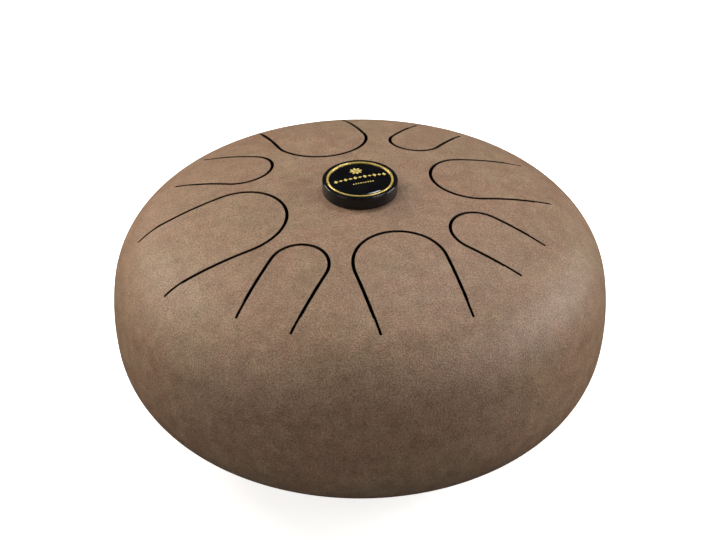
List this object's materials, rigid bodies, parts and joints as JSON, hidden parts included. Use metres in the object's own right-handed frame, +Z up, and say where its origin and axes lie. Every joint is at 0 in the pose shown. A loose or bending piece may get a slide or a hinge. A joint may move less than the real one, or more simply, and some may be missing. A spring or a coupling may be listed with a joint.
{
  "type": "steel tongue drum",
  "caption": "Domed two-shell steel tongue drum with U-cut tongues around a central badge, a sound port underneath and rubber feet, played with mallets or fingers.",
  "frame": {"origin": "on the floor under the drum's centre, at the level of the foot soles", "axes": "+Z up along the drum's axis of revolution; the front long tongue lies towards -Y and a little +X; tongues are numbered anticlockwise from it as seen from above"},
  "size_m": [0.4, 0.4, 0.226],
  "materials": {
    "powder_coated_steel": "fine sandy satin",
    "bare_steel": "as welded",
    "black_rubber": "matt",
    "zinc_steel": "zinc plated",
    "adhesive_foam": "matt",
    "black_gloss_plastic": "gloss",
    "black_gloss_resin": "domed gloss",
    "gilt_metal": "gilt"
  },
  "bodies": {
    "shell": {"top_shell": "powder_coated_steel", "bottom_shell": "powder_coated_steel", "seam_weld": "bare_steel", "port_trim": "black_rubber", "foot_1": "black_rubber", "foot_2": "black_rubber", "foot_3": "black_rubber", "foot_4": "black_rubber", "foot_screws": "zinc_steel", "foot_washers": "zinc_steel", "foot_nuts": "zinc_steel", "badge_pad": "adhesive_foam", "badge_base": "black_gloss_plastic", "badge_ring": "gilt_metal", "badge_face": "black_gloss_resin", "badge_emblem": "gilt_metal"},
    "tongue_1": {"tongue_1": "powder_coated_steel"},
    "tongue_2": {"tongue_2": "powder_coated_steel"},
    "tongue_3": {"tongue_3": "powder_coated_steel"},
    "tongue_4": {"tongue_4": "powder_coated_steel"},
    "tongue_5": {"tongue_5": "powder_coated_steel"},
    "tongue_6": {"tongue_6": "powder_coated_steel"},
    "tongue_7": {"tongue_7": "powder_coated_steel"},
    "tongue_8": {"tongue_8": "powder_coated_steel"}
  },
  "joints": [
    {"name": "tongue_1_flex", "type": "hinge", "parent": "shell", "child": "tongue_1", "pos_m": [0.0505, -0.14919, 0.18725], "axis": [-0.9472, -0.3206, 0], "range_deg": [-0.5, 0.5], "stiffness_Nm_per_rad": 30.84, "springref_deg": -0.1},
    {"name": "tongue_2_flex", "type": "hinge", "parent": "shell", "child": "tongue_2", "pos_m": [0.13447, -0.06646, 0.19033], "axis": [-0.4431, -0.8965, 0], "range_deg": [-0.5, 0.5], "stiffness_Nm_per_rad": 7.43, "springref_deg": -0.14},
    {"name": "tongue_3_flex", "type": "hinge", "parent": "shell", "child": "tongue_3", "pos_m": [0.1435, 0.04857, 0.18973], "axis": [0.3206, -0.9472, 0], "range_deg": [-0.5, 0.5], "stiffness_Nm_per_rad": 21.97, "springref_deg": -0.1},
    {"name": "tongue_4_flex", "type": "hinge", "parent": "shell", "child": "tongue_4", "pos_m": [0.06624, 0.13402, 0.19052], "axis": [0.8965, -0.4431, 0], "range_deg": [-0.5, 0.5], "stiffness_Nm_per_rad": 6.07, "springref_deg": -0.14},
    {"name": "tongue_5_flex", "type": "hinge", "parent": "shell", "child": "tongue_5", "pos_m": [-0.0513, 0.15155, 0.18611], "axis": [0.9472, 0.3206, 0], "range_deg": [-0.5, 0.5], "stiffness_Nm_per_rad": 32.3, "springref_deg": -0.1},
    {"name": "tongue_6_flex", "type": "hinge", "parent": "shell", "child": "tongue_6", "pos_m": [-0.1403, 0.06934, 0.18768], "axis": [0.4431, 0.8965, 0], "range_deg": [-0.5, 0.5], "stiffness_Nm_per_rad": 9.35, "springref_deg": -0.13},
    {"name": "tongue_7_flex", "type": "hinge", "parent": "shell", "child": "tongue_7", "pos_m": [-0.16339, -0.05531, 0.17828], "axis": [-0.3206, 0.9472, 0], "range_deg": [-0.5, 0.5], "stiffness_Nm_per_rad": 51.41, "springref_deg": -0.09},
    {"name": "tongue_8_flex", "type": "hinge", "parent": "shell", "child": "tongue_8", "pos_m": [-0.07244, -0.14658, 0.18429], "axis": [-0.8965, 0.4431, 0], "range_deg": [-0.5, 0.5], "stiffness_Nm_per_rad": 11.76, "springref_deg": -0.12}
  ]
}
